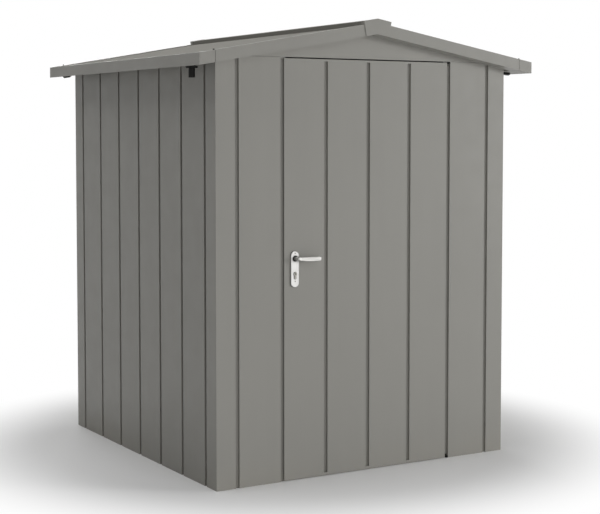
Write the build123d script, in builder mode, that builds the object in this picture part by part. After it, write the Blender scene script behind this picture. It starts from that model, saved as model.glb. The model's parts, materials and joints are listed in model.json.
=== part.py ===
# Metal tool shed: grooved sheet-steel walls, a shallow gabled roof with gutters inside its eaves,
# and one door that opens outwards on pins hidden in the groove beside it.
# Millimetres, +Z up, front towards -Y, origin on the ground at the centre of the footprint.
from build123d import *
import math
import os

os.makedirs("parts", exist_ok=True)

# Walls
width = 1660.0
depth = 1700.0
sheet = 1.5
corner_face = 100.0
panels_per_side = 6
groove_width = 20.0
groove_depth = 12.0
flange_lap = 20.0
panel_seam = 1.0

# Roof
pitch = 10.0
eave_rise = 25.6
eave_overhang = 118.0
verge_overhang = 78.0
roof_edge = 56.0
roof_recess = 4.5
ridge_joint = 1.0
verge_top_flange = 40.0
gutter_width = 78.0
gutter_lip = 12.0
gutter_slot = 18.0
gutter_end_joint = 2.0

# Ridge cap and its end plates
cap_half_width = 76.0
cap_rise = 16.5
cap_return = 25.0
end_plate_proud = 4.0

# Gutter outlets
outlet_from_wall = 80.0
outlet_bore = 26.0
flange_diameter = 60.0
flange_thickness = 5.0
plug_diameter = 46.0
plug_thickness = 7.0
spout_wall = 2.0
spout_drop = 57.0

# Inner frame
rail = 40.0
threshold_height = 25.0
threshold_setback = 19.0
head_height = 40.0
ridge_beam_width = 40.0
ridge_beam_height = 60.0
top_rail_height = 60.0

# Door leaf
ground_gap = 3.0
door_height = 1994.0
head_gap = 6.0
stop_flange = 15.0
leaf_return = 7.0
bottom_strip = 13.0
top_strip = 10.0
stile_setback = 24.0
stile_width = 20.0
frame_depth = 20.0
frame_rail = 30.0
frame_bottom_gap = 6.0
frame_top_gap = 5.0

# Hinge pins
pin_radius = 2.5
pin_clearance = 0.1
pin_setback = 3.5
pin_engagement = 8.0
bearing_height = 10.0
bracket_height = 5.0
bracket_width = 5.0
bracket_rise = 12.0
bracket_slack = 1.0

# Lock and handles
backset = 55.0
spindle_height = 1058.0
spindle_side = 8.0
cylinder_drop = 72.0
cylinder_radius = 8.5
cylinder_leg = 10.0
cylinder_height = 33.0
cylinder_proud = 3.0
key_slot_width = 2.6
key_slot_height = 9.0
key_slot_depth = 8.0
plate_width = 44.0
plate_height = 172.0
plate_above_spindle = 35.0
plate_thickness = 8.0
plate_bevel = 2.5
lever_length = 126.0
lever_reach = 44.0
lever_thickness = 12.0
lever_above_spindle = 8.0
lever_root_height = 13.0
lever_grip_height = 22.0
lever_tip_height = 19.0
lever_bend = 11.0
lever_tip_return = 24.0
lever_bevel = 3.0
neck_radius = 9.0
neck_length = 10.0
neck_entry = 0.5
running_gap = 0.5
follower_radius = 6.5
case_width = 40.0
case_height = 190.0
case_above_spindle = 42.0
forend_thickness = 2.0
forend_height = 230.0
forend_above_spindle = 75.0
latch_proud = 1.5
latch_height = 18.0
latch_width = 12.0

# Derived sizes
half_width = width / 2
half_depth = depth / 2
leaf_bottom = ground_gap
leaf_top = leaf_bottom + door_height
gable_bottom = leaf_top + head_gap
wall_back = groove_depth + sheet
slope = math.tan(math.radians(pitch))
slope_cos = math.cos(math.radians(pitch))
slope_sin = math.sin(math.radians(pitch))
ridge_height = gable_bottom + eave_rise + half_width * slope
roof_half = half_width + eave_overhang
roof_end = half_depth + verge_overhang
gutter_inside = roof_half - gutter_width
front_step = (width - 2 * corner_face - groove_width) / panels_per_side
side_step = (depth - 2 * corner_face - groove_width) / panels_per_side

# A plane for each wall's plan, with X along the wall and Y inwards from its face
front_plan = Plane(origin=(0, -half_depth, 0), x_dir=(1, 0, 0), z_dir=(0, 0, 1))
back_plan = Plane(origin=(0, half_depth, 0), x_dir=(-1, 0, 0), z_dir=(0, 0, 1))
left_plan = Plane(origin=(-half_width, 0, 0), x_dir=(0, -1, 0), z_dir=(0, 0, 1))

# The underside of the roof sheets, and the underside of the gutters
under_ridge = ridge_height - roof_recess - sheet
left_underside = Plane(origin=(0, 0, under_ridge), z_dir=(-slope_sin, 0, slope_cos))
right_underside = Plane(origin=(0, 0, under_ridge), z_dir=(slope_sin, 0, slope_cos))
left_soffit = Plane(origin=(0, 0, ridge_height - roof_edge), z_dir=(-slope_sin, 0, slope_cos))


def roof_z(x):
    """Height of the roof's top plane at a distance x from the ridge line."""
    return ridge_height - abs(x) * slope


def under_z(x):
    """Height of the roof sheets' underside at a distance x from the ridge line."""
    return under_ridge - abs(x) * slope


def soffit_z(x):
    """Height of the roof edge's underside at a distance x from the ridge line."""
    return roof_z(x) - roof_edge


def slope_band(near, far, high, low):
    """Corners of a band along the left slope, between two distances from the ridge and two depths."""
    return [
        (-far, roof_z(far) - high),
        (-near, roof_z(near) - high),
        (-near, roof_z(near) - low),
        (-far, roof_z(far) - low),
    ]


def groove_lips(length, step):
    """Where each groove starts along a wall of this length, from the wall's middle."""
    return [-length / 2 + corner_face + step * i for i in range(panels_per_side + 1)]


def grooved_line(lips, start, end):
    """Plan points of a sheet from start to end, with a groove at each lip."""
    points = [start]
    for lip in lips:
        far = lip + groove_width
        points += [(lip, 0), (lip, groove_depth), (far, groove_depth), (far, 0)]
    return points + [end]


def wall_line(lips, grooves):
    """Plan points of a sheet between its corner posts, with end flanges that lap behind their lips."""
    first, last = lips[0], lips[-1] + groove_width
    inner = grooved_line(grooves, (first + groove_width, 0), (last - groove_width, 0))
    start = [(first - flange_lap, groove_depth), (first + groove_width, groove_depth)]
    end = [(last - groove_width, groove_depth), (last + flange_lap, groove_depth)]
    return start + inner + end


front_lips = groove_lips(width, front_step)
side_lips = groove_lips(depth, side_step)
leaf_left = front_lips[1] + groove_width
leaf_right = front_lips[-2]
spindle_x = leaf_left + backset
cylinder_z = spindle_height - cylinder_drop
pin_x = leaf_right + groove_width / 2
low_bracket_z = leaf_bottom + bracket_rise
high_bracket_z = leaf_top - bracket_rise - bracket_height
high_bearing_z = gable_bottom - bearing_height
finished = []


def cylinder_profile(gap):
    """Section of the lock cylinder on the XZ plane, grown all round by a gap."""
    leg_height = cylinder_height - cylinder_radius
    leg_low = cylinder_z - leg_height - gap
    with BuildSketch(Plane.XZ, mode=Mode.PRIVATE) as profile:
        with Locations((spindle_x, cylinder_z)):
            Circle(cylinder_radius + gap)
        with Locations((spindle_x, leg_low)):
            Rectangle(cylinder_leg + 2 * gap, leg_height, align=(Align.CENTER, Align.MIN))
    return profile.sketch_local


def finish(name, piece):
    """Label a finished piece and write it."""
    piece.label = name
    export_step(piece, f"parts/{name}.step")
    finished.append(name)


def finish_pair(name_left, name_right, piece):
    """Write a piece of the left half and its mirror image in the right half."""
    with BuildPart() as other:
        mirror(piece, about=Plane.YZ)
    finish(name_left, piece)
    finish(name_right, other.part)


# Corner posts: folded angles whose lips close the first groove of each wall
with BuildPart() as corner_post:
    with BuildSketch(Plane.XY):
        with BuildLine():
            Polyline(
                (-half_width + groove_depth, -half_depth + corner_face),
                (-half_width, -half_depth + corner_face),
                (-half_width, -half_depth),
                (-half_width + corner_face, -half_depth),
                (-half_width + corner_face, -half_depth + groove_depth),
            )
            offset(amount=sheet, kind=Kind.INTERSECTION, side=Side.LEFT)
        make_face()
    extrude(amount=ridge_height)
    split(bisect_by=left_underside, keep=Keep.BOTTOM)

with BuildPart() as corner_post_back:
    mirror(corner_post.part, about=Plane.XZ)

finish_pair("corner_post_front_left", "corner_post_front_right", corner_post.part)
finish_pair("corner_post_back_left", "corner_post_back_right", corner_post_back.part)

# Side walls: one grooved sheet each, up to the roof
with BuildPart() as left_wall:
    with BuildSketch(left_plan):
        with BuildLine():
            Polyline(*wall_line(side_lips, side_lips[1:-1]))
            offset(amount=sheet, kind=Kind.INTERSECTION, side=Side.LEFT)
        make_face()
    extrude(amount=ridge_height)
    split(bisect_by=left_underside, keep=Keep.BOTTOM)

finish_pair("left_wall", "right_wall", left_wall.part)

# Back wall, and the plain gable sheets above it and above the door, each folded in at its foot
with BuildPart() as back_wall:
    with BuildSketch(back_plan):
        with BuildLine():
            Polyline(*wall_line(front_lips, front_lips[1:-1]))
            offset(amount=sheet, kind=Kind.INTERSECTION, side=Side.LEFT)
        make_face()
    extrude(amount=gable_bottom - panel_seam)

with BuildPart() as front_gable:
    with BuildSketch(front_plan.offset(gable_bottom)):
        with BuildLine():
            Polyline(*wall_line(front_lips, []))
            offset(amount=sheet, kind=Kind.INTERSECTION, side=Side.LEFT)
        make_face()
    extrude(amount=ridge_height - gable_bottom)
    with BuildSketch(front_plan.offset(gable_bottom)):
        Rectangle(width - 2 * corner_face - 2 * groove_width, wall_back, align=(Align.CENTER, Align.MIN))
    extrude(amount=sheet)
    split(bisect_by=left_underside, keep=Keep.BOTTOM)
    split(bisect_by=right_underside, keep=Keep.BOTTOM)

with BuildPart() as back_gable:
    mirror(front_gable.part, about=Plane.XZ)

finish("back_wall", back_wall.part)
finish("front_gable", front_gable.part)
finish("back_gable", back_gable.part)

# Fixed panels beside the door, each with a flange that the leaf closes in front of
with BuildPart() as front_panel:
    with BuildSketch(front_plan):
        with BuildLine():
            Polyline(
                (front_lips[0] - flange_lap, groove_depth),
                (front_lips[0] + groove_width, groove_depth),
                (front_lips[0] + groove_width, 0),
                (front_lips[1], 0),
                (front_lips[1], groove_depth),
                (leaf_left + stop_flange, groove_depth),
            )
            offset(amount=sheet, kind=Kind.INTERSECTION, side=Side.LEFT)
        make_face()
    extrude(amount=gable_bottom - panel_seam)

finish_pair("front_panel_left", "front_panel_right", front_panel.part)

# Base rails inside the walls, and the threshold behind the leaf's lower edge
inner_x = half_width - wall_back - rail
rail_end = half_depth - wall_back

with BuildPart() as base_rail:
    with BuildSketch(Plane.XY):
        with Locations((-half_width + wall_back + rail / 2, 0)):
            Rectangle(rail, 2 * rail_end)
    extrude(amount=rail)

with BuildPart() as base_rail_back:
    with BuildSketch(back_plan):
        with Locations((0, wall_back + rail / 2)):
            Rectangle(2 * inner_x, rail)
    extrude(amount=rail)

with BuildPart() as threshold:
    with BuildSketch(front_plan):
        with Locations((0, threshold_setback + rail / 2)):
            Rectangle(2 * inner_x, rail)
    extrude(amount=threshold_height)

finish_pair("base_rail_left", "base_rail_right", base_rail.part)
finish("base_rail_back", base_rail_back.part)
finish("threshold", threshold.part)

# Top rails: the side ones carry the roof sheets' lower ends
top_outer = half_width - wall_back
with BuildPart() as top_rail:
    with BuildSketch(Plane.XZ):
        with BuildLine():
            Polyline(
                (-top_outer, under_z(top_outer) - top_rail_height),
                (-inner_x, under_z(top_outer) - top_rail_height),
                (-inner_x, under_z(inner_x)),
                (-top_outer, under_z(top_outer)),
                close=True,
            )
        make_face()
    extrude(amount=rail_end, both=True)

with BuildPart() as door_head:
    with BuildSketch(front_plan.offset(gable_bottom)):
        with Locations((0, wall_back + rail / 2)):
            Rectangle(2 * inner_x, rail)
    extrude(amount=head_height)
    split(bisect_by=left_underside, keep=Keep.BOTTOM)
    split(bisect_by=right_underside, keep=Keep.BOTTOM)

with BuildPart() as back_top_rail:
    mirror(door_head.part, about=Plane.XZ)

finish_pair("top_rail_left", "top_rail_right", top_rail.part)
finish("door_head", door_head.part)
finish("back_top_rail", back_top_rail.part)

# Door jambs behind the stop flanges, standing on the threshold
jamb_inner = leaf_left + stop_flange
with BuildPart() as door_jamb:
    with BuildSketch(front_plan.offset(threshold_height)):
        with Locations((jamb_inner - rail / 2, wall_back + rail / 2)):
            Rectangle(rail, rail)
    extrude(amount=gable_bottom - threshold_height)

finish_pair("door_jamb_left", "door_jamb_right", door_jamb.part)

# Ridge beam between the gables, shaped to both slopes
beam_half = ridge_beam_width / 2
beam_bottom = under_ridge - ridge_beam_height
with BuildPart() as ridge_beam:
    with BuildSketch(Plane.XZ):
        with BuildLine():
            Polyline(
                (-beam_half, beam_bottom),
                (beam_half, beam_bottom),
                (beam_half, under_z(beam_half)),
                (0, under_ridge),
                (-beam_half, under_z(beam_half)),
                close=True,
            )
        make_face()
    extrude(amount=rail_end, both=True)

finish("ridge_beam", ridge_beam.part)

# Roof sheets, from the ridge to just short of the gutters' lips
sheet_low = roof_half - gutter_lip - gutter_slot
with BuildPart() as roof_sheet:
    with BuildSketch(Plane.XZ):
        with BuildLine():
            Polyline(
                (-sheet_low, under_z(sheet_low)),
                (-ridge_joint / 2, under_z(ridge_joint / 2)),
                (-ridge_joint / 2, under_z(ridge_joint / 2) + sheet),
                (-sheet_low, under_z(sheet_low) + sheet),
                close=True,
            )
        make_face()
    extrude(amount=roof_end - sheet, both=True)

finish_pair("roof_sheet_left", "roof_sheet_right", roof_sheet.part)

# Verge trims: a folded channel along each sloping edge, closed below as far as the wall
verge_run = roof_half - ridge_joint / 2
verge_top = roof_z(ridge_joint / 2)
verge_face_end = gutter_inside - gutter_end_joint
with BuildPart() as verge:
    with BuildSketch(Plane.YZ.offset(-ridge_joint / 2)):
        with BuildLine():
            Polyline(
                (-roof_end + verge_top_flange, verge_top - roof_recess),
                (-roof_end + verge_top_flange, verge_top),
                (-roof_end, verge_top),
                (-roof_end, verge_top - roof_edge),
                (-half_depth, verge_top - roof_edge),
            )
            offset(amount=sheet, kind=Kind.INTERSECTION, side=Side.LEFT)
        make_face()
    extrude(amount=verge_run / slope_cos, dir=(-slope_cos, 0, -slope_sin))
    # Beyond the joint with the gutter's end, only the top flange runs on to the corner
    for reach, high in ((sheet, sheet / slope_cos), (verge_overhang, roof_edge / 2)):
        with BuildSketch(Plane.XZ.offset(roof_end - reach)):
            with BuildLine():
                Polyline(*slope_band(verge_face_end, roof_half, high, roof_edge), close=True)
            make_face()
        extrude(amount=reach, mode=Mode.SUBTRACT)
    # The small inner lip stops at the gutter's fascia
    with BuildSketch(Plane.XZ.offset(roof_end - verge_top_flange)):
        with BuildLine():
            Polyline(*slope_band(roof_half - sheet, roof_half, sheet, roof_edge), close=True)
        make_face()
    extrude(amount=sheet, mode=Mode.SUBTRACT)

with BuildPart() as verge_back:
    mirror(verge.part, about=Plane.XZ)

finish_pair("verge_front_left", "verge_front_right", verge.part)
finish_pair("verge_back_left", "verge_back_right", verge_back.part)

# Gutters: a trough inside each eave, with its fascia outside and an outlet near each end
outlet_x = roof_half - gutter_width / 2
outlet_y = half_depth - outlet_from_wall
with BuildPart() as gutter:
    with BuildSketch(Plane.XZ):
        with BuildLine():
            Polyline(
                (-roof_half + gutter_lip, roof_z(roof_half - gutter_lip)),
                (-roof_half, roof_z(roof_half)),
                (-roof_half, soffit_z(roof_half)),
                (-gutter_inside, soffit_z(gutter_inside)),
                (-gutter_inside, under_z(gutter_inside + sheet)),
            )
            offset(amount=sheet, kind=Kind.INTERSECTION, side=Side.LEFT)
        make_face()
    extrude(amount=roof_end)
    # A notch under the verge's top flange
    with BuildSketch(Plane.XZ.offset(roof_end - verge_top_flange)):
        with BuildLine():
            Polyline(*slope_band(gutter_inside, roof_half, -sheet, sheet / slope_cos), close=True)
        make_face()
    extrude(amount=verge_top_flange, mode=Mode.SUBTRACT)
    # The closed end, in line with the verge's face
    with BuildSketch(Plane.XZ.offset(roof_end - sheet)):
        with BuildLine():
            Polyline(*slope_band(gutter_inside, roof_half, sheet / slope_cos, roof_edge), close=True)
        make_face()
    extrude(amount=sheet)
    with BuildSketch(Plane.XY.offset(soffit_z(roof_half))):
        with Locations((-outlet_x, -outlet_y)):
            Circle(outlet_bore / 2)
    extrude(amount=roof_edge / 2, mode=Mode.SUBTRACT)
    mirror(about=Plane.XZ)

finish_pair("gutter_left", "gutter_right", gutter.part)

# Black outlets under the gutters: an open spout at one end of each, and a closed plug at the other
outlet_face = Plane(origin=(-outlet_x, -outlet_y, soffit_z(outlet_x)), z_dir=(slope_sin, 0, -slope_cos))
plug_face = Plane(origin=(-outlet_x, outlet_y, soffit_z(outlet_x)), z_dir=(slope_sin, 0, -slope_cos))
spout_foot = Plane(origin=(-outlet_x, -outlet_y, soffit_z(outlet_x) - spout_drop))
with BuildPart() as downspout:
    with BuildSketch(spout_foot):
        Circle(outlet_bore / 2 + spout_wall)
    extrude(amount=spout_drop + outlet_bore)
    split(bisect_by=left_soffit, keep=Keep.BOTTOM)
    with BuildSketch(outlet_face):
        Circle(flange_diameter / 2)
    extrude(amount=flange_thickness)
    with BuildSketch(spout_foot):
        Circle(outlet_bore / 2)
    extrude(amount=spout_drop + outlet_bore, mode=Mode.SUBTRACT)

with BuildPart() as outlet_plug:
    with BuildSketch(plug_face):
        Circle(plug_diameter / 2)
    extrude(amount=plug_thickness)

with BuildPart() as downspouts:
    add(downspout.part)
    add(downspout.part.rotate(Axis.Z, 180))

with BuildPart() as outlet_plugs:
    add(outlet_plug.part)
    add(outlet_plug.part.rotate(Axis.Z, 180))

finish("downspouts", downspouts.part)
finish("outlet_plugs", outlet_plugs.part)

# Ridge cap: a shallow fold with legs down to the roof sheets, and a plate over each end
cap_edge_z = roof_z(cap_half_width) + cap_rise
cap_leg = (cap_rise + roof_recess) * slope_cos
leg_x = cap_half_width - cap_leg * slope_sin
leg_z = cap_edge_z - cap_leg * slope_cos
with BuildPart() as ridge_cap:
    with BuildSketch(Plane.XZ):
        with BuildLine():
            Polyline(
                (leg_x, leg_z),
                (cap_half_width, cap_edge_z),
                (0, ridge_height + cap_rise),
                (-cap_half_width, cap_edge_z),
                (-leg_x, leg_z),
            )
            offset(amount=sheet, kind=Kind.INTERSECTION, side=Side.LEFT)
        make_face()
    extrude(amount=roof_end, both=True)
    # Over the verges the legs stop on their top flanges
    for start in (roof_end - verge_top_flange, -roof_end):
        with BuildSketch(Plane.XZ.offset(start)):
            with BuildLine():
                Polyline(
                    (-cap_half_width, roof_z(cap_half_width)),
                    (0, ridge_height),
                    (cap_half_width, roof_z(cap_half_width)),
                    (cap_half_width, leg_z - cap_rise),
                    (-cap_half_width, leg_z - cap_rise),
                    close=True,
                )
            make_face()
        extrude(amount=verge_top_flange, mode=Mode.SUBTRACT)

finish("ridge_cap", ridge_cap.part)


def end_outline(grow, low):
    """Points of the end plate's outline: the cap's line grown outwards, with its sides run down to low."""
    top_z = ridge_height + cap_rise + grow / slope_cos
    edge_x = cap_half_width + grow * (slope_cos + slope_sin)
    edge_z = cap_edge_z + grow * (slope_cos - slope_sin)
    side = (cap_rise + low) * slope_cos + grow
    foot_x = edge_x - side * slope_sin
    foot_z = edge_z - side * slope_cos
    middle_z = foot_z + foot_x * slope
    left = [(-edge_x, edge_z), (-foot_x, foot_z)]
    right = [(foot_x, foot_z), (edge_x, edge_z)]
    return [(0, top_z)] + left + [(0, middle_z)] + right


with BuildPart() as ridge_end:
    # The face and its rim, standing on the verges' faces
    with BuildSketch(Plane.XZ.offset(roof_end)):
        with BuildLine():
            Polyline(*end_outline(sheet, roof_edge), close=True)
        make_face()
    extrude(amount=end_plate_proud)
    with BuildSketch(Plane.XZ.offset(roof_end)):
        with BuildLine():
            Polyline(*end_outline(0, roof_edge - sheet / slope_cos), close=True)
        make_face()
    extrude(amount=end_plate_proud - sheet, mode=Mode.SUBTRACT)
    # The hood that wraps over the end of the cap
    with BuildSketch(Plane.XZ.offset(roof_end - cap_return)):
        with BuildLine():
            Polyline(*end_outline(sheet, 0), close=True)
        make_face()
        with BuildLine():
            Polyline(*end_outline(0, 0), close=True)
        make_face(mode=Mode.SUBTRACT)
    extrude(amount=cap_return)

with BuildPart() as ridge_ends:
    add(ridge_end.part)
    mirror(ridge_end.part, about=Plane.XZ)

finish("ridge_ends", ridge_ends.part)

# Door leaf: a grooved front sheet between flat strips at its foot and its head
leaf_edges = front_lips[2:-2]
leaf_width = leaf_right - leaf_left
grooves_low = leaf_bottom + bottom_strip
grooves_high = leaf_top - top_strip
with BuildPart() as door_skin:
    with BuildSketch(front_plan.offset(grooves_low)):
        with BuildLine():
            Polyline(*grooved_line(leaf_edges, (leaf_left, 0), (leaf_right, 0)))
            offset(amount=sheet, kind=Kind.INTERSECTION, side=Side.LEFT)
        make_face()
    extrude(amount=grooves_high - grooves_low)
    for strip_low, strip_high in ((leaf_bottom, grooves_low), (grooves_high, leaf_top)):
        with BuildSketch(front_plan.offset(strip_low)):
            Rectangle(leaf_width, sheet, align=(Align.CENTER, Align.MIN))
        extrude(amount=strip_high - strip_low)
    # The folded lower and upper edges
    for fold_low in (leaf_bottom, leaf_top - sheet):
        with BuildSketch(front_plan.offset(fold_low)):
            Rectangle(leaf_width, leaf_return, align=(Align.CENTER, Align.MIN))
        extrude(amount=sheet)
    # The closed foot and head of each groove
    for end_low in (grooves_low - sheet, grooves_high):
        with BuildSketch(front_plan.offset(end_low)):
            with Locations([(edge + groove_width / 2, 0) for edge in leaf_edges]):
                Rectangle(groove_width + 2 * sheet, wall_back, align=(Align.CENTER, Align.MIN))
        extrude(amount=sheet)
    # The folded side edges
    with BuildSketch(front_plan.offset(leaf_bottom)):
        with Locations((leaf_left, 0)):
            Rectangle(sheet, leaf_return, align=(Align.MIN, Align.MIN))
        with Locations((leaf_right, 0)):
            Rectangle(sheet, leaf_return, align=(Align.MAX, Align.MIN))
    extrude(amount=leaf_top - leaf_bottom)
    # Slots in the hinge edge for the two brackets
    for low in (low_bracket_z, high_bracket_z):
        with BuildSketch(front_plan.offset(low - bracket_slack)):
            with Locations((leaf_right, sheet)):
                Rectangle(2 * sheet, leaf_return, align=(Align.CENTER, Align.MIN))
        extrude(amount=bracket_height + 2 * bracket_slack, mode=Mode.SUBTRACT)
    # Holes for the lever's neck and the lock cylinder
    with BuildSketch(Plane.XZ.offset(half_depth)):
        with Locations((spindle_x, spindle_height)):
            Circle(neck_radius + 2 * running_gap)
        add(cylinder_profile(running_gap))
    extrude(amount=-sheet, mode=Mode.SUBTRACT)

finish("door_skin", door_skin.part)

# Stiffening frame behind the skin, resting on the backs of its grooves
frame_left = leaf_left + stile_setback
frame_right = leaf_right - stile_setback
frame_low = threshold_height + frame_bottom_gap
frame_high = leaf_top - frame_top_gap
frame_face = wall_back + frame_depth
case_left = frame_left + stile_width
case_top = spindle_height + case_above_spindle
with BuildPart() as door_frame:
    with BuildSketch(Plane.XZ.offset(half_depth - wall_back)):
        with Locations((0, (frame_low + frame_high) / 2)):
            Rectangle(frame_right - frame_left, frame_high - frame_low)
            Rectangle(
                frame_right - frame_left - 2 * stile_width,
                frame_high - frame_low - 2 * frame_rail,
                mode=Mode.SUBTRACT,
            )
        with Locations((case_left + case_width, spindle_height)):
            Rectangle(frame_right - case_left - case_width, frame_rail, align=(Align.MIN, Align.CENTER))
    extrude(amount=-frame_depth)

finish("door_frame", door_frame.part)

# Hinges: a bracket on the stile at the foot and head of the leaf, with a pin in the groove beside it
with BuildPart() as hinge_pins:
    for bracket_z, pin_low, pin_high in (
        (low_bracket_z, bearing_height - pin_engagement, low_bracket_z),
        (high_bracket_z, high_bracket_z, high_bearing_z + pin_engagement),
    ):
        with BuildSketch(front_plan.offset(bracket_z)):
            with Locations((frame_right, sheet)):
                Rectangle(stile_width, wall_back - sheet, align=(Align.MAX, Align.MIN))
            with Locations((frame_right, sheet)):
                Rectangle(pin_x - frame_right, bracket_width, align=(Align.MIN, Align.MIN))
            with Locations((pin_x, pin_setback)):
                Circle(pin_setback)
        extrude(amount=bracket_height)
        with BuildSketch(front_plan.offset(pin_low)):
            with Locations((pin_x, pin_setback)):
                Circle(pin_radius)
        extrude(amount=pin_high - pin_low)

finish("hinge_pins", hinge_pins.part)

# Bearings for the pins: round-nosed blocks at the foot and head of the fixed panel's groove
with BuildPart() as hinge_bearings:
    for bearing_z in (0, high_bearing_z):
        with BuildSketch(front_plan.offset(bearing_z)):
            with Locations((pin_x, 0)):
                Rectangle(groove_width / 2, groove_depth, align=(Align.MIN, Align.MIN))
            with Locations((pin_x, pin_setback)):
                Circle(pin_setback)
                Circle(pin_radius + pin_clearance, mode=Mode.SUBTRACT)
        extrude(amount=bearing_height)

finish("hinge_bearings", hinge_bearings.part)

# Lock case between the skin and the leaf's inner face
with BuildPart() as lock_case:
    with BuildSketch(Plane.XZ.offset(half_depth - sheet)):
        with Locations((case_left, case_top)):
            Rectangle(case_width, case_height, align=(Align.MIN, Align.MAX))
        with Locations((spindle_x, spindle_height)):
            Circle(follower_radius, mode=Mode.SUBTRACT)
        add(cylinder_profile(running_gap), mode=Mode.SUBTRACT)
    extrude(amount=-(frame_face - sheet))

# Forend on the edge of the stile, with the latch drawn back nearly flush
with BuildPart() as latch_forend:
    with BuildSketch(Plane.YZ.offset(frame_left)):
        with Locations((-half_depth + wall_back, spindle_height + forend_above_spindle)):
            Rectangle(frame_depth, forend_height, align=(Align.MIN, Align.MAX))
    extrude(amount=-forend_thickness)
    with BuildSketch(Plane.YZ.offset(frame_left - forend_thickness)):
        with Locations((-half_depth + wall_back + frame_depth / 2, spindle_height)):
            Rectangle(latch_width, latch_height)
    extrude(amount=-latch_proud)

finish("lock_case", lock_case.part)
finish("latch_forend", latch_forend.part)

# Short handle plates outside and inside
with BuildPart() as handle_plate_outside:
    with BuildSketch(Plane.XZ.offset(half_depth)):
        with Locations((spindle_x, spindle_height + plate_above_spindle - plate_height / 2)):
            SlotOverall(plate_height, plate_width, rotation=90)
        with Locations((spindle_x, spindle_height)):
            Circle(neck_radius + running_gap, mode=Mode.SUBTRACT)
        add(cylinder_profile(running_gap), mode=Mode.SUBTRACT)
    extrude(amount=plate_thickness)
    rim = handle_plate_outside.faces().sort_by(Axis.Y)[0].outer_wire().edges()
    chamfer(rim, length=plate_bevel)

middle_y = -half_depth + frame_face / 2
leaf_middle = Plane.XZ.offset(-middle_y)
with BuildPart() as handle_plate_inside:
    mirror(handle_plate_outside.part, about=leaf_middle)

finish("handle_plate_outside", handle_plate_outside.part)
finish("handle_plate_inside", handle_plate_inside.part)

# Lock cylinder through both plates, with a key slot at each end
cylinder_reach = plate_thickness + cylinder_proud
with BuildPart() as lock_cylinder:
    with BuildSketch(Plane.XZ.offset(half_depth + cylinder_reach)):
        add(cylinder_profile(0))
    extrude(amount=-(frame_face + 2 * cylinder_reach))
    for start, inward in ((half_depth + cylinder_reach, -1), (half_depth - frame_face - cylinder_reach, 1)):
        with BuildSketch(Plane.XZ.offset(start)):
            with Locations((spindle_x, cylinder_z)):
                Rectangle(key_slot_width, key_slot_height)
        extrude(amount=inward * key_slot_depth, mode=Mode.SUBTRACT)

finish("lock_cylinder", lock_cylinder.part)

# Lever: a round neck, a flat bar that is deepest at the grip, and a tip turned back to the door
neck_face = -half_depth - plate_thickness
bar_y = neck_face - lever_reach + lever_thickness / 2
bar_tip = spindle_x + lever_length - lever_thickness / 2
bar_top = spindle_height + lever_above_spindle
with BuildPart() as lever_grip:
    # Seen from above: a bent strip, from inside the neck to the tip
    with BuildSketch(Plane.XY.offset(bar_top)):
        with BuildLine(mode=Mode.PRIVATE) as bar_line:
            FilletPolyline(
                (spindle_x, neck_face - neck_length + lever_bevel),
                (spindle_x, bar_y),
                (bar_tip, bar_y),
                (bar_tip, bar_y + lever_tip_return),
                radius=lever_bend,
            )
        trace(bar_line.line, lever_thickness)
    extrude(amount=-2 * lever_grip_height)
    # Seen from the front: a level top and a lower edge in one long arc
    root_x = spindle_x - lever_thickness
    end_x = spindle_x + lever_length + lever_thickness
    with BuildSketch(Plane.XZ.offset(-neck_face)):
        with BuildLine():
            ThreePointArc(
                (root_x, bar_top - lever_root_height),
                ((root_x + end_x) / 2, bar_top - lever_grip_height),
                (end_x, bar_top - lever_tip_height),
            )
            Polyline(
                (end_x, bar_top - lever_tip_height),
                (end_x, bar_top + lever_bevel),
                (root_x, bar_top + lever_bevel),
                (root_x, bar_top - lever_root_height),
            )
        make_face()
    extrude(amount=2 * lever_reach, mode=Mode.INTERSECT)
    top_rim = lever_grip.faces().sort_by(Axis.Z)[-1].outer_wire().edges()
    low_rim = lever_grip.faces().sort_by(Axis.Z)[0].outer_wire().edges()
    chamfer(top_rim + low_rim, length=lever_bevel)
    with BuildSketch(Plane.XZ.offset(-neck_face - neck_entry)):
        with Locations((spindle_x, spindle_height)):
            Circle(neck_radius)
    extrude(amount=neck_length + neck_entry)

# The square spindle goes with the outer lever, and the inner lever is its mirror image without it
with BuildPart() as lever_outside:
    add(lever_grip.part)
    with BuildSketch(Plane.XZ.offset(-neck_face - neck_entry)):
        with Locations((spindle_x, spindle_height)):
            Rectangle(spindle_side, spindle_side)
    extrude(amount=-(frame_face + 2 * plate_thickness - 2 * neck_entry))

with BuildPart() as lever_inside:
    mirror(lever_grip.part, about=leaf_middle)

finish("lever_outside", lever_outside.part)
finish("lever_inside", lever_inside.part)
print(len(finished), "pieces")
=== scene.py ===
# Looks of the metal tool shed: coil-coated sheet, galvanised rails, satin handles, fasteners,
# bearing rings, lock nuts and plug caps, a pale floor, soft studio light and the photograph's camera.
# Metres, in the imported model's frame.
import json
import math

import bmesh
import bpy
from mathutils import Matrix, Vector


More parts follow.
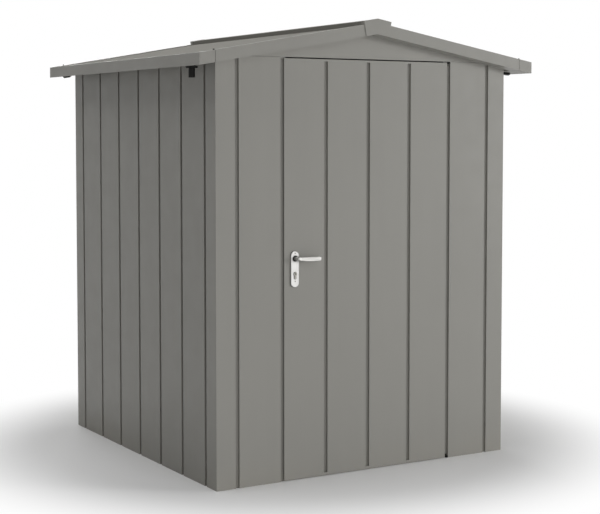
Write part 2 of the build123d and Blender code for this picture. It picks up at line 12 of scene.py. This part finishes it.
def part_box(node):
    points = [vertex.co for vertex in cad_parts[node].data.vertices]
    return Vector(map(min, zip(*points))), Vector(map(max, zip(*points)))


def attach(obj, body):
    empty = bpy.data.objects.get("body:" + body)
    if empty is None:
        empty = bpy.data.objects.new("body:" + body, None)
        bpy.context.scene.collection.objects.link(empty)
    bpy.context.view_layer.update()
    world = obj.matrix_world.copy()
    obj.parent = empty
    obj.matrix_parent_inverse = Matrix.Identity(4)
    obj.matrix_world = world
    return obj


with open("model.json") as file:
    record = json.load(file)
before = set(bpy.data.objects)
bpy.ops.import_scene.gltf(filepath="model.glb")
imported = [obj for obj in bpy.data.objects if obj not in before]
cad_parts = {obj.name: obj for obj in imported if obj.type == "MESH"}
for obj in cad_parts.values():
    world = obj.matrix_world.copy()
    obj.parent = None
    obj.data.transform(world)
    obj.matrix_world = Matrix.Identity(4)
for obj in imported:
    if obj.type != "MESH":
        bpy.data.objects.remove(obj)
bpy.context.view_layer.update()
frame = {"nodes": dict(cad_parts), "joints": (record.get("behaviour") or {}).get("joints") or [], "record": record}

# Camera
camera_place = (-3.7539, -6.5334, 1.6716)
camera_turn = 30.665
camera_dip = 3.298
camera_focus_px = 1404.0
image_width_px = 600
sensor_width = 36.0
camera_shift_y = -0.08

# Screws in the verges and in the side walls' rails
roof_pitch = math.radians(10)
verge_screw_x = 0.872
verge_screw_y = 0.918
verge_screw_radius = 0.006
rail_screw_radius = 0.0055
rail_screw_count = 7
rail_screw_drop = 0.018
rail_screw_end = 0.072
washer_thickness = 0.001
head_share = 0.62
head_height_share = 0.72
head_chamfer_share = 0.86
head_wall_share = 0.85

# Screws and rivets of the door
plate_screw_radius = 0.0036
plate_screw_proud = 0.0005
plate_screw_recess = 0.0014
plate_screw_inset = 0.029
plate_top_screw_inset = 0.009
forend_screw_radius = 0.0035
forend_screw_proud = 0.0004
forend_screw_recess = 0.0012
forend_screw_inset = 0.011
forend_thickness = 0.002
flat_rim_share = 0.96
flat_rim_height_share = 0.5
flat_top_share = 0.8
recess_share = 0.45
rivet_radius = 0.004
rivet_inset = 0.012
rivet_spacing = 0.033
rivet_crown_share = 0.45
rivet_hollow_share = 0.3
rivet_floor_share = 0.2
rivet_dome_angles = (0.0, 0.4, 0.8, 1.15)

# Bearing rings of the levers
collar_bore = 0.0095
collar_radius = 0.0130
collar_height = 0.0028
collar_wall_share = 0.7
edge_share = 0.94

# Nuts and caps of the gutter outlets
flange_radius = 0.030
plug_radius = 0.023
spout_radius = 0.015
nut_radius = 0.028
nut_height = 0.009
nut_end_share = 0.96
nut_chamfer_share = 0.2
cap_radius = 0.019
cap_height = 0.004

# Turned solids: the corners of a ring, with 0 for a circle, and the points round it
circle = 0
hexagon = 6
grip = 12
screw_sides = 24
collar_sides = 40
nut_sides = 48
merge_distance = 0.00001

# Light
world_level = 0.073
backdrop_level = 1.0
floor_size = 60.0
floor_fade_start = 1.2
floor_fade_end = 2.0
floor_roughness = 0.9
floor_specular = 0.0

# Paint
paint_specular = 0.22
roof_specular = 0.0
streak_amount = 0.35
grain_amount = 0.25
dust_height = 0.16
dust_amount = 0.22
dust_roughness = 0.2
# Folds and edges of the paint made lighter: partly worn paint, partly a painted highlight along the folds
paint_wear_highlight_width = 0.0015
paint_wear_highlight_amount = 0.12

# Metal
spangle_scale = 75.0
zinc_metallic = 0.75
# Edges of the metals made lighter: partly worn metal, partly a painted highlight
metal_wear_highlight_width = 0.0006
metal_wear_highlight_amount = 0.3
# Painted shade that darkens the satin metals in the corners where pieces meet
corner_shade_distance = 0.035
corner_shade_amount = 0.94
line_anisotropy = 0.4
plate_roughness = 0.40
lever_roughness = 0.34
cylinder_roughness = 0.30
pin_roughness = 0.45
screw_roughness = 0.42
upright_lines = (1, 1, 0.02)
sideways_lines = (0.02, 1, 1)
short_lines = (1, 1, 0.2)
no_lines = (1, 1, 1)

# Plastic
plastic_specular = 0.12

# Limits of the edge wear-and-highlight factor and of the painted corner shade, between which they fade
bevel_samples = 4
wear_highlight_full = 0.8
wear_highlight_none = 0.98
corner_shade_full = 0.6
corner_shade_none = 0.9

# Sockets of the mix node when it mixes colours
mix_factor = 0
mix_first = 6
mix_second = 7
mix_result = 2

# Colours, written in sRGB
paint_colour = (152, 150.5, 145)
dust_colour = (168, 160, 146)
zinc_colour = (172, 175, 178)
satin_colour = (190, 189, 187)
lever_colour = (186, 185, 182)
cylinder_colour = (152, 150, 144)
pin_colour = (74, 72, 68)
screw_colour = (108, 107, 104)
black_colour = (20, 20, 19)
floor_colour = (246, 246, 246)


def linear(colour):
    """A linear RGBA colour from sRGB values of 0 to 255."""
    parts = [c / 255 for c in colour]
    return [p / 12.92 if p <= 0.04045 else ((p + 0.055) / 1.055) ** 2.4 for p in parts] + [1.0]


def shade(colour, factor):
    """A linear colour made lighter or darker by a factor."""
    return [c * factor for c in colour[:3]] + [1.0]


class Shader:
    """Builds one node material step by step."""

    def __init__(self, name):
        self.material = bpy.data.materials.new(name)
        self.material.use_nodes = True
        self.nodes = self.material.node_tree.nodes
        self.links = self.material.node_tree.links
        self.surface = self.nodes["Principled BSDF"]
        self.place = self.nodes.new("ShaderNodeTexCoord").outputs["Object"]

    def add(self, kind, **values):
        """A new node with its settings."""
        node = self.nodes.new(kind)
        for key, value in values.items():
            setattr(node, key, value)
        return node

    def join(self, source, target):
        self.links.new(source, target)

    def stretched(self, scale):
        """Object coordinates multiplied by a scale on each axis."""
        mapping = self.add("ShaderNodeMapping")
        mapping.inputs["Scale"].default_value = scale
        self.join(self.place, mapping.inputs["Vector"])
        return mapping.outputs["Vector"]

    def noise(self, scale, detail=3.0, roughness=0.5, stretch=(1, 1, 1)):
        node = self.add("ShaderNodeTexNoise")
        node.inputs["Scale"].default_value = scale
        node.inputs["Detail"].default_value = detail
        node.inputs["Roughness"].default_value = roughness
        self.join(self.stretched(stretch), node.inputs["Vector"])
        return node.outputs["Fac"]

    def span(self, value, low, high, out_low=0.0, out_high=1.0):
        """A value eased from the range low to high into the range out_low to out_high."""
        node = self.add("ShaderNodeMapRange")
        node.interpolation_type = "SMOOTHSTEP"
        node.inputs["From Min"].default_value = low
        node.inputs["From Max"].default_value = high
        node.inputs["To Min"].default_value = out_low
        node.inputs["To Max"].default_value = out_high
        self.join(value, node.inputs["Value"])
        return node.outputs["Result"]

    def maths(self, operation, first, second):
        """The result of two sockets, or of a socket and a number."""
        node = self.add("ShaderNodeMath", operation=operation)
        for socket, value in zip(node.inputs, (first, second)):
            if isinstance(value, (int, float)):
                socket.default_value = value
            else:
                self.join(value, socket)
        return node.outputs[0]

    def mixed(self, factor, first, second):
        """One colour mixed into another by a factor. Each may be a socket or a value."""
        node = self.add("ShaderNodeMix", data_type="RGBA", blend_type="MIX")
        for index, value in ((mix_factor, factor), (mix_first, first), (mix_second, second)):
            if isinstance(value, (int, float, list, tuple)):
                node.inputs[index].default_value = value
            else:
                self.join(value, node.inputs[index])
        return node.outputs[mix_result]

    def bump(self, height, strength, distance, under=None):
        """A normal raised by a height, over the relief under it if there is one."""
        node = self.add("ShaderNodeBump")
        node.inputs["Strength"].default_value = strength
        node.inputs["Distance"].default_value = distance
        self.join(height, node.inputs["Height"])
        if under is not None:
            self.join(under, node.inputs["Normal"])
        return node.outputs["Normal"]

    def height_above_ground(self):
        node = self.add("ShaderNodeSeparateXYZ")
        self.join(self.place, node.inputs["Vector"])
        return node.outputs["Z"]

    def edge_wear_and_highlight(self, width):
        """1 within a width of the folds and edges and 0 on the flat faces, where wear and a painted highlight go.
        """
        geometry = self.add("ShaderNodeNewGeometry")
        rounded = self.add("ShaderNodeBevel", samples=bevel_samples)
        rounded.inputs["Radius"].default_value = width
        likeness = self.add("ShaderNodeVectorMath", operation="DOT_PRODUCT")
        self.join(rounded.outputs["Normal"], likeness.inputs[0])
        self.join(geometry.outputs["Normal"], likeness.inputs[1])
        return self.span(likeness.outputs["Value"], wear_highlight_full, wear_highlight_none, 1.0, 0.0)

    def painted_corner_shade(self, distance):
        """Painted shade: 1 deep in the corners where pieces meet and 0 in the open."""
        nearness = self.add("ShaderNodeAmbientOcclusion")
        nearness.inputs["Distance"].default_value = distance
        return self.span(nearness.outputs["AO"], corner_shade_full, corner_shade_none, 1.0, 0.0)

    def finish(self, colour, roughness, normal, metallic=0.0):
        """Joins the results to the surface and gives the material."""
        self.join(colour, self.surface.inputs["Base Color"])
        self.join(roughness, self.surface.inputs["Roughness"])
        self.join(normal, self.surface.inputs["Normal"])
        self.surface.inputs["Metallic"].default_value = metallic
        return self.material


def painted_sheet(name, colour, specular):
    """Satin coil coating: faint clouds and streaks, an orange-peel skin, dust near the ground, and folds lightened
    by wear and a painted highlight.
    """
    s = Shader(name)
    base = linear(colour)
    clouds = s.noise(scale=1.7, detail=4.0)
    streaks = s.noise(scale=6.0, detail=3.0, stretch=(2.2, 2.2, 0.18))
    grain = s.noise(scale=900.0, detail=2.0)
    tone = s.mixed(s.span(clouds, 0.3, 0.7), shade(base, 0.985), shade(base, 1.02))
    tone = s.mixed(s.span(streaks, 0.35, 0.75, 0.0, streak_amount), tone, shade(base, 1.05))
    tone = s.mixed(s.span(grain, 0.3, 0.7, 0.0, grain_amount), tone, shade(base, 0.86))
    near_ground = s.span(s.height_above_ground(), 0.0, dust_height, 1.0, 0.0)
    dust = s.maths("MULTIPLY", near_ground, s.span(clouds, 0.2, 0.8))
    tone = s.mixed(s.maths("MULTIPLY", dust, dust_amount), tone, linear(dust_colour))
    # Folds and edges made lighter: partly wear, partly a painted highlight along the folds
    wear_and_highlight = s.maths("MULTIPLY", s.edge_wear_and_highlight(paint_wear_highlight_width), paint_wear_highlight_amount)
    tone = s.mixed(wear_and_highlight, tone, shade(base, 1.25))
    rough = s.span(s.noise(scale=14.0, detail=5.0), 0.25, 0.75, 0.40, 0.50)
    rough = s.maths("ADD", rough, s.maths("MULTIPLY", dust, dust_roughness))
    peel = s.bump(s.noise(scale=420.0, detail=1.0), strength=0.06, distance=0.0006)
    swell = s.noise(scale=2.6, detail=1.0, stretch=(1, 1, 0.35))
    waves = s.bump(swell, strength=0.10, distance=0.02, under=peel)
    s.surface.inputs["Specular IOR Level"].default_value = specular
    return s.finish(tone, rough, waves)


def galvanised(name):
    """Zinc-coated steel with a soft spangle."""
    s = Shader(name)
    cells = s.add("ShaderNodeTexVoronoi")
    cells.inputs["Scale"].default_value = spangle_scale
    s.join(s.place, cells.inputs["Vector"])
    cell_tone = s.add("ShaderNodeSeparateColor")
    s.join(cells.outputs["Color"], cell_tone.inputs["Color"])
    base = linear(zinc_colour)
    tone = s.mixed(cell_tone.outputs["Red"], shade(base, 0.80), shade(base, 1.1))
    patches = s.span(s.noise(scale=5.0, detail=5.0), 0.4, 0.75, 0.0, 0.4)
    tone = s.mixed(patches, tone, shade(base, 0.72))
    rough = s.span(cell_tone.outputs["Green"], 0.0, 1.0, 0.34, 0.5)
    normal = s.bump(s.noise(scale=240.0, detail=3.0), strength=0.12, distance=0.0005)
    return s.finish(tone, rough, normal, metallic=zinc_metallic)


def brushed(name, colour, stretch, roughness):
    """Satin metal with fine lines, a few handling marks, edges lightened by wear and a painted highlight, and
    painted shade in the corners.
    """
    s = Shader(name)
    base = linear(colour)
    lines = s.noise(scale=900.0, detail=4.0, roughness=0.6, stretch=stretch)
    smudge = s.noise(scale=38.0, detail=4.0)
    tone = s.mixed(s.span(lines, 0.3, 0.7), shade(base, 0.9), shade(base, 1.06))
    # Edges made lighter: partly wear, partly a painted highlight
    wear_and_highlight = s.maths("MULTIPLY", s.edge_wear_and_highlight(metal_wear_highlight_width), metal_wear_highlight_amount)
    tone = s.mixed(wear_and_highlight, tone, shade(base, 1.12))
    # Painted shade: corners where pieces meet are darkened towards a twelfth of the colour
    corner_shade = s.maths("MULTIPLY", s.painted_corner_shade(corner_shade_distance), corner_shade_amount)
    tone = s.mixed(corner_shade, tone, shade(base, 0.12))
    rough = s.span(smudge, 0.3, 0.75, roughness - 0.05, roughness + 0.09)
    rough = s.maths("ADD", rough, s.span(lines, 0.3, 0.7, -0.03, 0.03))
    normal = s.bump(lines, strength=0.08, distance=0.0002)
    s.surface.inputs["Anisotropic"].default_value = line_anisotropy
    return s.finish(tone, rough, normal, metallic=1.0)


def moulded_black(name):
    """Black moulded plastic with a fine spark-eroded grain and a little weathering."""
    s = Shader(name)
    base = linear(black_colour)
    weathering = s.span(s.noise(scale=60.0, detail=4.0), 0.35, 0.8, 0.0, 0.6)
    tone = s.mixed(weathering, base, shade(base, 1.7))
    rough = s.span(s.noise(scale=130.0, detail=3.0), 0.3, 0.7, 0.42, 0.58)
    normal = s.bump(s.noise(scale=1500.0, detail=2.0), strength=0.25, distance=0.0003)
    s.surface.inputs["Specular IOR Level"].default_value = plastic_specular
    return s.finish(tone, rough, normal)


paint = painted_sheet("paint", paint_colour, paint_specular)
roof_paint = painted_sheet("roof_paint", paint_colour, roof_specular)
zinc = galvanised("zinc")
satin_plate = brushed("satin_plate", satin_colour, upright_lines, plate_roughness)
satin_lever = brushed("satin_lever", lever_colour, sideways_lines, lever_roughness)
nickel = brushed("nickel", cylinder_colour, short_lines, cylinder_roughness)
pin_steel = brushed("pin_steel", pin_colour, short_lines, pin_roughness)
screw_steel = brushed("screw_steel", screw_colour, no_lines, screw_roughness)
black_plastic = moulded_black("black_plastic")

slot_materials = {
    "painted_sheet": paint,
    "roof_sheet": roof_paint,
    "frame_steel": zinc,
    "satin_metal": satin_plate,
    "hinge_steel": pin_steel,
    "black_plastic": black_plastic,
}
for part in frame["record"]["subparts"]:
    node = frame["nodes"][part["node"]]
    node.data.materials.clear()
    node.data.materials.append(slot_materials[part["material_slot"]])
frame["nodes"]["ridge_cap"].data.materials[0] = roof_paint
for name in ("lever_outside", "lever_inside"):
    frame["nodes"][name].data.materials[0] = satin_lever
frame["nodes"]["lock_cylinder"].data.materials[0] = nickel


def new_piece(name, shape, material, body):
    """A finished bmesh as a piece that rides on a body."""
    bmesh.ops.remove_doubles(shape, verts=shape.verts, dist=merge_distance)
    bmesh.ops.recalc_face_normals(shape, faces=shape.faces)
    mesh = bpy.data.meshes.new(name)
    shape.to_mesh(mesh)
    shape.free()
    mesh.materials.append(material)
    piece = bpy.data.objects.new(name, mesh)
    bpy.context.scene.collection.objects.link(piece)
    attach(piece, body)
    return piece


def reach(radius, corners, angle):
    """Distance from the axis to the edge of a circle, or of a polygon with this many corners."""
    if corners == circle:
        return radius
    half_step = math.pi / corners
    return radius * math.cos(half_step) / math.cos(angle % (2 * half_step) - half_step)


def add_turned(shape, seat, profile, sides):
    """Adds a closed turned solid about the seat's Z axis, from rings of (radius, height, corners)."""
    rings = []
    for radius, height, corners in profile:
        if radius == 0:
            rings.append([shape.verts.new(seat @ Vector((0, 0, height)))] * sides)
            continue
        ring = []
        for i in range(sides):
            angle = 2 * math.pi * i / sides
            out = reach(radius, corners, angle)
            point = Vector((out * math.cos(angle), out * math.sin(angle), height))
            ring.append(shape.verts.new(seat @ point))
        rings.append(ring)
    for low, high in zip(rings, rings[1:]):
        for i in range(sides):
            j = (i + 1) % sides
            corners = [low[i], low[j], high[j], high[i]]
            shape.faces.new(list(dict.fromkeys(corners)))


def seat_at(place, outward):
    """A matrix that stands a turned solid at a place, with its axis outwards."""
    turn = Vector(outward).to_track_quat("Z", "X").to_matrix().to_4x4()
    return Matrix.Translation(Vector(place)) @ turn


def hex_screw(radius):
    """A hexagon head on a flat round washer."""
    head = radius * head_share
    height = radius * head_height_share
    top = washer_thickness + height
    return [
        (0, 0, circle),
        (radius, 0, circle),
        (radius, washer_thickness, circle),
        (head, washer_thickness, hexagon),
        (head, washer_thickness + height * head_wall_share, hexagon),
        (head * head_chamfer_share, top, circle),
        (0, top, circle),
    ]


def flat_screw(radius, proud, recess):
    """A low round head with a hexagon recess."""
    socket = radius * recess_share
    return [
        (0, 0, circle),
        (radius, 0, circle),
        (radius * flat_rim_share, proud * flat_rim_height_share, circle),
        (radius * flat_top_share, proud, circle),
        (socket, proud, hexagon),
        (socket, proud - recess, hexagon),
        (0, proud - recess, circle),
    ]


def rivet(radius):
    """A blind rivet: a domed flange with the hollow of its pulled mandrel."""
    crown = radius * rivet_crown_share
    hollow = radius * rivet_hollow_share
    hollow_floor = radius * rivet_floor_share
    dome = [(radius * math.cos(a), crown * math.sin(a), circle) for a in rivet_dome_angles]
    return [
        (0, 0, circle),
        *dome,
        (hollow, crown, circle),
        (hollow, hollow_floor, circle),
        (0, hollow_floor, circle),
    ]


def fasteners(name, seats, profile, material, body, sides=screw_sides):
    """Like fasteners on one body, as one piece."""
    shape = bmesh.new()
    for place, outward in seats:
        add_turned(shape, seat_at(place, outward), profile, sides)
    return new_piece(name, shape, material, body)


# Sizes read from the frame
ridge_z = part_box("verge_front_left")[1].z
plate_low, plate_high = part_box("handle_plate_outside")
inner_plate_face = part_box("handle_plate_inside")[1].y
frame_low, frame_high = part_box("door_frame")
rail_low, rail_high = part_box("base_rail_left")
top_rail_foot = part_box("top_rail_left")[0].z
forend_low, forend_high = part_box("latch_forend")
plug_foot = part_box("outlet_plugs")[0].z
spout_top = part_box("downspouts")[1]
outlet_x = spout_top.x - flange_radius * math.cos(roof_pitch)
outlet_y = spout_top.y - flange_radius
lever_joint = next(joint for joint in frame["joints"] if joint["name"] == "lever_turn")
spindle_x, _, spindle_z = lever_joint["pos_m"]


def roof_top(x):
    """Height of the verges' top face at a distance x from the ridge line."""
    return ridge_z - abs(x) * math.tan(roof_pitch)


def make_verge_screws():
    """One screw in the top flange of each verge, near its eave."""
    seats = []
    for side in (-1, 1):
        for end in (-1, 1):
            place = (side * verge_screw_x, end * verge_screw_y, roof_top(verge_screw_x))
            seats.append((place, (side * math.sin(roof_pitch), 0, math.cos(roof_pitch))))
    profile = hex_screw(verge_screw_radius)
    fasteners("verge_screws", seats, profile, pin_steel, "shed")


def make_plate_screws():
    """Two countersunk screws in each handle plate."""
    x = (plate_low.x + plate_high.x) / 2
    heights = (plate_low.z + plate_screw_inset, plate_high.z - plate_top_screw_inset)
    profile = flat_screw(plate_screw_radius, plate_screw_proud, plate_screw_recess)
    outside = [((x, plate_low.y, z), (0, -1, 0)) for z in heights]
    inside = [((x, inner_plate_face, z), (0, 1, 0)) for z in heights]
    fasteners("plate_screws", outside + inside, profile, nickel, "door")


def make_lever_collars():
    """Black bearing rings round the levers' necks, one on each plate."""
    profile = [
        (collar_bore, 0, circle),
        (collar_radius, 0, circle),
        (collar_radius, collar_height * collar_wall_share, circle),
        (collar_radius * edge_share, collar_height, circle),
        (collar_bore, collar_height, circle),
        (collar_bore, 0, circle),
    ]
    seats = [
        ((spindle_x, plate_low.y, spindle_z), (0, -1, 0)),
        ((spindle_x, inner_plate_face, spindle_z), (0, 1, 0)),
    ]
    fasteners("lever_collars", seats, profile, black_plastic, "door", collar_sides)


def make_frame_rivets():
    """Two blind rivets at each corner of the leaf's frame, seen from inside."""
    low = frame_low.z + rivet_inset
    high = frame_high.z - rivet_inset
    seats = []
    for x in (frame_low.x + rivet_inset, frame_high.x - rivet_inset):
        for z in (low, low + rivet_spacing, high - rivet_spacing, high):
            seats.append(((x, frame_high.y, z), (0, 1, 0)))
    fasteners("frame_rivets", seats, rivet(rivet_radius), screw_steel, "door")


def make_forend_screws():
    """One screw at each end of the latch's forend."""
    middle_y = (forend_low.y + forend_high.y) / 2
    face_x = forend_high.x - forend_thickness
    heights = (forend_low.z + forend_screw_inset, forend_high.z - forend_screw_inset)
    seats = [((face_x, middle_y, z), (-1, 0, 0)) for z in heights]
    profile = flat_screw(forend_screw_radius, forend_screw_proud, forend_screw_recess)
    fasteners("forend_screws", seats, profile, nickel, "door")


def make_rail_screws():
    """A row of hexagon screws in the inner face of each side wall's base rail and top rail."""
    row_reach = rail_high.y - rail_screw_end
    seats = []
    for z in ((rail_low.z + rail_high.z) / 2, top_rail_foot + rail_screw_drop):
        for i in range(rail_screw_count):
            along = row_reach * (2 * i / (rail_screw_count - 1) - 1)
            seats.append(((rail_high.x, along, z), (1, 0, 0)))
            seats.append(((-rail_high.x, along, z), (-1, 0, 0)))
    profile = hex_screw(rail_screw_radius)
    fasteners("rail_screws", seats, profile, screw_steel, "shed")


def make_outlet_nuts():
    """A lock nut round each spout."""
    chamfer = nut_height * nut_chamfer_share
    profile = [
        (spout_radius, 0, circle),
        (nut_radius * nut_end_share, 0, grip),
        (nut_radius, -chamfer, grip),
        (nut_radius, chamfer - nut_height, grip),
        (nut_radius * nut_end_share, -nut_height, grip),
        (spout_radius, -nut_height, circle),
        (spout_radius, 0, circle),
    ]
    z = spout_top.z - 2 * flange_radius * math.sin(roof_pitch)
    shape = bmesh.new()
    for side in (-1, 1):
        place = Vector((side * outlet_x, side * outlet_y, z))
        add_turned(shape, Matrix.Translation(place), profile, nut_sides)
    new_piece("outlet_nuts", shape, black_plastic, "shed")


def make_plug_caps():
    """A finger-grip cap under each plug."""
    profile = [
        (0, 0, circle),
        (cap_radius, 0, grip),
        (cap_radius * edge_share, cap_height, grip),
        (0, cap_height, circle),
    ]
    z = plug_foot + plug_radius * math.sin(roof_pitch)
    seats = []
    for side in (-1, 1):
        outward = (-side * math.sin(roof_pitch), 0, -math.cos(roof_pitch))
        seats.append(((side * outlet_x, -side * outlet_y, z), outward))
    fasteners("plug_caps", seats, profile, black_plastic, "shed", nut_sides)


def make_camera():
    data = bpy.data.cameras.new("camera")
    data.sensor_width = sensor_width
    data.lens = camera_focus_px / image_width_px * sensor_width
    data.shift_y = camera_shift_y
    camera = bpy.data.objects.new("camera", data)
    camera.location = camera_place
    camera.rotation_euler = (math.radians(90 - camera_dip), 0, math.radians(-camera_turn))
    bpy.context.scene.collection.objects.link(camera)
    bpy.context.scene.camera = camera


def seen_directly(nodes, links):
    """1 for camera, glossy and transmission rays."""
    path = nodes.new("ShaderNodeLightPath")
    total = path.outputs["Is Camera Ray"]
    for name in ("Is Glossy Ray", "Is Transmission Ray"):
        larger = nodes.new("ShaderNodeMath")
        larger.operation = "MAXIMUM"
        links.new(total, larger.inputs[0])
        links.new(path.outputs[name], larger.inputs[1])
        total = larger.outputs[0]
    return total


def make_world():
    """A weak even light that looks white where it is seen directly."""
    world = bpy.data.worlds.new("studio")
    bpy.context.scene.world = world
    world.use_nodes = True
    nodes = world.node_tree.nodes
    links = world.node_tree.links
    background = nodes["Background"]
    background.inputs["Color"].default_value = (1, 1, 1, 1)
    level = nodes.new("ShaderNodeMapRange")
    level.inputs["To Min"].default_value = world_level
    level.inputs["To Max"].default_value = backdrop_level
    links.new(seen_directly(nodes, links), level.inputs["Value"])
    links.new(level.outputs["Result"], background.inputs["Strength"])


def make_floor():
    """A pale floor that keeps the shadow near the shed and fades into the white backdrop."""
    mesh = bpy.data.meshes.new("floor")
    shape = bmesh.new()
    bmesh.ops.create_grid(shape, x_segments=1, y_segments=1, size=floor_size / 2)
    shape.to_mesh(mesh)
    shape.free()
    floor = bpy.data.objects.new("floor", mesh)
    bpy.context.scene.collection.objects.link(floor)
    s = Shader("floor")
    mesh.materials.append(s.material)
    s.surface.inputs["Base Color"].default_value = linear(floor_colour)
    s.surface.inputs["Roughness"].default_value = floor_roughness
    s.surface.inputs["Specular IOR Level"].default_value = floor_specular
    white = s.add("ShaderNodeEmission")
    white.inputs["Strength"].default_value = backdrop_level
    distance = s.add("ShaderNodeVectorMath", operation="LENGTH")
    s.join(s.place, distance.inputs[0])
    far = s.span(distance.outputs["Value"], floor_fade_start, floor_fade_end)
    amount = s.maths("MULTIPLY", far, seen_directly(s.nodes, s.links))
    blend = s.add("ShaderNodeMixShader")
    s.join(amount, blend.inputs["Fac"])
    s.join(s.surface.outputs["BSDF"], blend.inputs[1])
    s.join(white.outputs["Emission"], blend.inputs[2])
    s.join(blend.outputs["Shader"], s.nodes["Material Output"].inputs["Surface"])


def area_light(name, place, target, size, watts):
    """A rectangular lamp at a place, turned to a target."""
    data = bpy.data.lights.new(name, "AREA")
    data.shape = "RECTANGLE"
    data.size, data.size_y = size
    data.energy = watts
    light = bpy.data.objects.new(name, data)
    light.location = place
    light.rotation_euler = (Vector(target) - Vector(place)).to_track_quat("-Z", "Y").to_euler()
    bpy.context.scene.collection.objects.link(light)


def make_lights():
    """Soft lamps round the shed, with the strongest from the right of its front."""
    area_light("key_right", place=(7.9, -7.0, 2.1), target=(0.0, -0.85, 1.2), size=(1.9, 1.9), watts=335)
    area_light("front_far", place=(0.0, -7.5, 4.5), target=(0.0, -0.85, 1.0), size=(4.0, 3.0), watts=55)
    area_light("front_low", place=(-1.0, -7.0, 0.8), target=(0.0, -0.85, 0.6), size=(4.0, 1.4), watts=58)
    area_light("overhead", place=(0.0, 0.0, 7.5), target=(0.0, 0.0, 0.0), size=(5.0, 5.0), watts=180)
    area_light("overhead_left", place=(-3.6, 0.0, 6.5), target=(-3.0, 0.0, 0.0), size=(3.0, 3.0), watts=90)
    area_light("right_side", place=(7.0, 0.5, 3.0), target=(0.83, 0.0, 1.2), size=(3.0, 3.0), watts=50)
    area_light("back", place=(1.0, 7.0, 3.2), target=(0.2, 0.85, 1.2), size=(3.0, 3.0), watts=150)


make_verge_screws()
make_plate_screws()
make_lever_collars()
make_frame_rivets()
make_forend_screws()
make_rail_screws()
make_outlet_nuts()
make_plug_caps()

bpy.context.scene.view_settings.view_transform = "Standard"
make_camera()
make_world()
make_floor()
make_lights()
